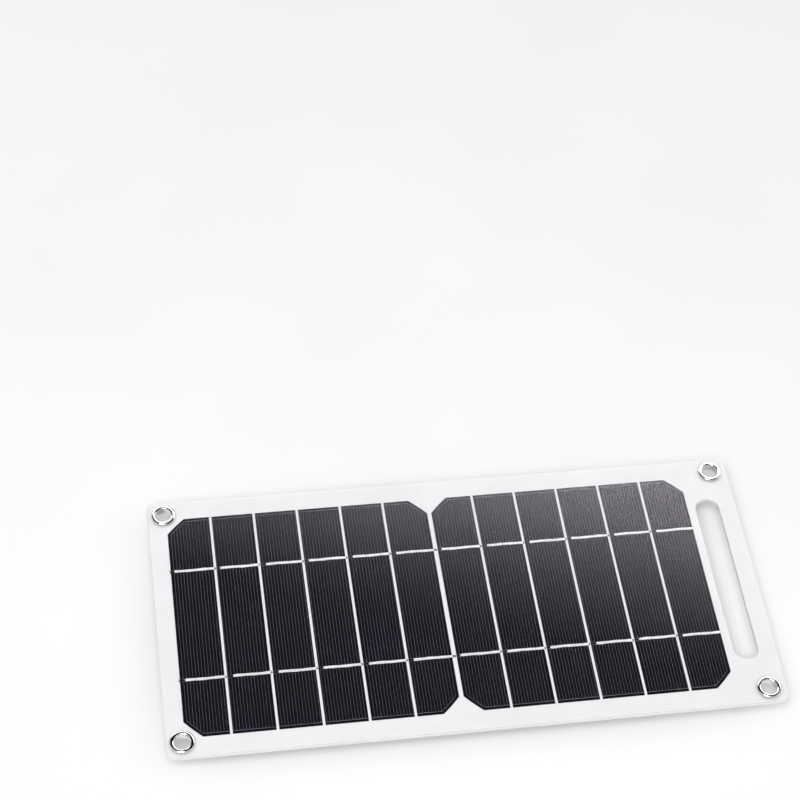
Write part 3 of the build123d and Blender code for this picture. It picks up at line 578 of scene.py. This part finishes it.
def add_fingers(paste):
    """The printed grid on each strip: fingers, the line that joins their ends, hollow busbars."""
    outermost = (FINGER_COUNT - 1) / 2 * FINGER_PITCH
    half = FINGER_WIDTH / 2
    line_half = END_LINE_WIDTH / 2
    rail_half = BUSBAR_RAIL / 2
    inner = BUSBAR_Y - BUSBAR_HALF
    outer = BUSBAR_Y + BUSBAR_HALF
    for number, low, high, cut_at in strip_layout():
        parts = Parts()
        base = high.z
        top = base + FINGER_HEIGHT
        width = high.x - low.x
        for k in range(FINGER_COUNT):
            u = k * FINGER_PITCH - outermost
            along = u - cut_at
            if FINGER_TO_CUT < along < width - FINGER_TO_CUT:
                x = low.x + along
                end = grid_reach(u)
                for y0, y1 in ((-end, -outer), (-inner, inner), (outer, end)):
                    parts.block(x - half, x + half, y0, y1, base, top)
        first = max(cut_at, -outermost)
        last = min(cut_at + width, outermost)
        for side in (-1, 1):
            line = []
            for i in range(END_LINE_STEPS + 1):
                u = first + (last - first) * i / END_LINE_STEPS
                line.append((low.x + u - cut_at, side * grid_reach(u)))
            for (xa, ya), (xb, yb) in zip(line, line[1:]):
                near = [(xa, ya - line_half), (xb, yb - line_half)]
                far = [(xb, yb + line_half), (xa, ya + line_half)]
                parts.prism(near + far, base, top)
            for rail in (-BUSBAR_HALF, BUSBAR_HALF):
                y = side * BUSBAR_Y + rail
                x0 = low.x + FINGER_TO_CUT
                x1 = high.x - FINGER_TO_CUT
                parts.block(x0, x1, y - rail_half, y + rail_half, base, top)
        piece(parts.finish(f"cell_fingers_{number:02d}", paste), "tinned_ribbon")


def ribbon_ring(centre, direction, width):
    """The section across a ribbon that runs in X and Z."""
    normal = Vector((-direction.z, 0, direction.x))
    ring = []
    for side, edge in RIBBON_SECTION:
        across = Vector((0, side * width / 2, 0))
        ring.append(tuple(centre + across + normal * (edge * RIBBON_THICKNESS)))
    return ring


def sweep_ribbon(parts, route, y, seed):
    """One tab ribbon through the route's X and Z points, a little uneven, as soldered by hand."""
    rng = random.Random(seed)
    lean = rng.uniform(-LEAN, LEAN)
    phase = rng.uniform(0, FULL_TURN)
    points = []
    for (xa, za), (xb, zb) in zip(route, route[1:]):
        steps = max(2, int(math.hypot(xb - xa, zb - za) / RING_STEP))
        for i in range(steps):
            points.append((xa + (xb - xa) * i / steps, za + (zb - za) * i / steps))
    points.append(route[-1])
    rings = []
    last = len(points) - 1
    for k, (px, pz) in enumerate(points):
        ax, az = points[max(k - 1, 0)]
        bx, bz = points[min(k + 1, last)]
        direction = Vector((bx - ax, 0, bz - az)).normalized()
        wave = math.sin(px / MM * SWAY_PER_MM + phase)
        sway = lean + SWAY * wave + rng.uniform(-JITTER, JITTER)
        swell = math.sin(px / MM * WIDTH_PER_MM + 2 * phase)
        share = WIDTH_MEAN + WIDTH_SWELL * swell + rng.uniform(-WIDTH_JITTER, WIDTH_JITTER)
        width = RIBBON_WIDTH * share
        if k in (0, last):
            width *= END_NARROWING
        rings.append(ribbon_ring(Vector((px, y + sway, pz)), direction, width))
    parts.loft(rings)


def add_ribbons(tinned, gap_flux_and_shade):
    """Replaces each pair of tab ribbons by a hand-soldered looking pair on the same route."""
    half = RIBBON_THICKNESS / 2
    layout = strip_layout()
    for (number, _, high, _), (following, next_low, _, _) in zip(layout, layout[1:]):
        node = f"tab_ribbons_{number:02d}_{following:02d}"
        box_low, box_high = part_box(node)
        front = box_high.z - half
        rear = box_low.z + half
        parts = Parts()
        for row, y in enumerate((-BUSBAR_Y, BUSBAR_Y)):
            seed = 10 * number + row
            start = box_low.x + random.Random(seed + START_SEED).uniform(START_LONG, START_SHORT)
            route = [
                (start, front),
                (high.x + RIBBON_RELIEF, front),
                (next_low.x - RIBBON_RELIEF, rear),
                (box_high.x, rear),
            ]
            sweep_ribbon(parts, route, y, seed)
        obj = parts.finish(f"tinned_{node}", tinned)
        obj.data.materials.append(gap_flux_and_shade)
        for face in obj.data.polygons:
            # faces between two strips get the flux colour with painted shade
            if high.x + FLUX_SHADE_FROM < face.center.x < next_low.x + FLUX_SHADE_TO:
                face.material_index = 1
        piece(obj, "tinned_ribbon", node)


def add_end_ribbons(tinned):
    """The last strip's ribbons: along its front, round its right edge and back under it."""
    half = RIBBON_THICKNESS / 2
    strip_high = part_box(f"cell_strip_{2 * STRIPS_PER_WAFER:02d}")[1]
    low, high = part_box("negative_end_tabs")
    front = high.z - half
    rear = low.z + half
    fold = high.x - half
    route = [
        (low.x, front),
        (fold - BEND, front),
        (fold, front - BEND),
        (fold, rear + BEND),
        (fold - BEND, rear),
        (strip_high.x - FOLD_BACK, rear),
    ]
    parts = Parts()
    for row, y in enumerate((-BUSBAR_Y, BUSBAR_Y)):
        sweep_ribbon(parts, route, y, END_RIBBON_SEED + row)
    obj = parts.finish("tinned_negative_end_tabs", tinned)
    piece(obj, "tinned_ribbon", "negative_end_tabs")


def sheet_like_film(name, bottom, top, material):
    """A sheet with the film's outline, slot and holes, between two heights."""
    film_low, film_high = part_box("front_film")
    middle = (film_low.z + film_high.z) / 2
    mesh = NODES["front_film"].data.copy()
    mesh.name = name
    mesh.materials.clear()
    mesh.materials.append(material)
    for vert in mesh.vertices:
        vert.co.z = top if vert.co.z > middle else bottom
    mesh.update()
    return link_object(name, mesh)


def add_clear_layer(clear):
    """The clear encapsulant over the cells and ribbons, up to the film."""
    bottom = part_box("cell_strip_01")[1].z + CLEAR_OVER_CELLS
    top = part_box("front_film")[0].z - HAIR
    layer = sheet_like_film("clear_layer", bottom, top, clear)
    piece(layer, "clear_encapsulant", "front_encapsulant")


def add_white_tray(white):
    """The white encapsulant: flat under the cells, with a low lip up to the clear layer."""
    eva_low, eva_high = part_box("rear_encapsulant")
    lip_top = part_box("cell_strip_01")[1].z + CLEAR_OVER_CELLS - HAIR
    tray = sheet_like_film("white_tray", eva_low.z, lip_top, white)
    bm = bmesh.new()
    bm.from_mesh(tray.data)
    top_faces = [face for face in bm.faces if face.normal.z > FACING_UP]
    bmesh.ops.inset_region(
        bm,
        faces=top_faces,
        thickness=EDGE_LIP,
        use_boundary=True,
        use_even_offset=True,
    )
    for vert in {vert for face in top_faces for vert in face.verts}:
        vert.co.z = eva_high.z
    bm.to_mesh(tray.data)
    bm.free()
    piece(tray, "white_encapsulant", "rear_encapsulant")


# ------------------------------------------------------------------ carried-over CAD nodes
def paint(material, *names):
    for name in names:
        data = NODES[name].data
        data.materials.clear()
        data.materials.append(material)


def paint_panel(tinned):
    """The cells, the sheets round them, the eyelets' plating and the ribbons at the back."""
    paint(silicon(), *[name for name in NODES if name.startswith("cell_strip")])
    paint(nickel(), *[name for name in NODES if name.startswith("eyelet")])
    paint(clear_sheet("clear_film", 1.1, 0.05, 0.09, 0.00002, 0.99), "front_film")
    board = white_laminate("white_board", (0.74, 0.74, 0.73), (0.84, 0.84, 0.83), 0.3, weave=0.35)
    paint(board, "back_board")
    paint(tinned, "positive_bus_ribbon", "negative_bus_ribbon", "positive_end_tabs")
    paint(tinned, "positive_lead_ribbon", "negative_lead_ribbon")
    paint(solder(), "lead_solder_joints")


def paint_box():
    """The controller box, its port and cover, and the circuit inside."""
    plastic = moulded("box_plastic", (0.018, 0.018, 0.02), (0.03, 0.03, 0.032), 0.52, 2600, 0.00003)
    rubber = moulded("flap_rubber", (0.022, 0.022, 0.023), (0.045, 0.045, 0.045), 0.75, 3400, 0.00002)
    foam = moulded("foam_adhesive", (0.55, 0.55, 0.54), (0.62, 0.62, 0.6), 0.85, 1500, 0.00008)
    insulator = moulded("usb_plastic", (0.78, 0.78, 0.76), (0.84, 0.84, 0.82), 0.45, 1800, 0.00001)
    chip = moulded("chip_plastic", (0.015, 0.015, 0.016), (0.03, 0.03, 0.03), 0.5, 3000, 0.00001)
    ferrite = moulded("ferrite", (0.06, 0.06, 0.063), (0.1, 0.1, 0.1), 0.65, 1600, 0.00004)
    zinc = metal("zinc_steel", (0.55, 0.55, 0.56), (0.7, 0.7, 0.71), 0.3)
    shell = metal("usb_steel", (0.72, 0.72, 0.73), (0.82, 0.82, 0.83), 0.22, stretch=(0.2, 1, 1))
    gold = metal("gold_contact", (0.9, 0.66, 0.28), (0.97, 0.76, 0.38), 0.2)
    can = metal("capacitor_can", (0.7, 0.7, 0.71), (0.8, 0.8, 0.8), 0.3, stretch=(1, 1, 0.2))
    paint(plastic, "box_base", "box_cover")
    paint(rubber, "port_cover", "cover_gasket")
    paint(foam, "adhesive_pad")
    paint(insulator, "usb_insulator")
    paint(chip, "regulator_chip", "blocking_diode")
    paint(ferrite, "power_inductor")
    paint(zinc, "cover_screws", "hinge_pin")
    paint(shell, "usb_shell")
    paint(gold, "usb_contacts")
    paint(can, "capacitors")
    paint(solder_mask(), "circuit_board")
    paint(clear_part("status_light", (0.95, 0.9, 0.6), 0.2), "status_light")
    paint(clear_part("light_pipe", (0.9, 0.95, 0.95), 0.12), "light_pipe")


# ------------------------------------------------------------------ the scene
bpy.context.scene.view_settings.view_transform = "Standard"
add_camera()
add_world()
add_floor()
add_reflector()
add_area("key_light", KEY_PLACE, KEY_SIZE, KEY_POWER)
add_area("fill_light", FILL_PLACE, FILL_SIZE, FILL_POWER)

tinned_ribbon = tinned_copper()
paint_panel(tinned_ribbon)
paint_box()
add_fingers(silver_paste())
add_ribbons(tinned_ribbon, flux_and_painted_shade())
add_end_ribbons(tinned_ribbon)
add_clear_layer(clear_sheet("clear_encapsulant", 1.02, 0.2, 0.25, 0.00001, 0.998))
add_white_tray(white_laminate("white_encapsulant", (0.86, 0.86, 0.86), (0.92, 0.92, 0.92), 0.5, weave=0))
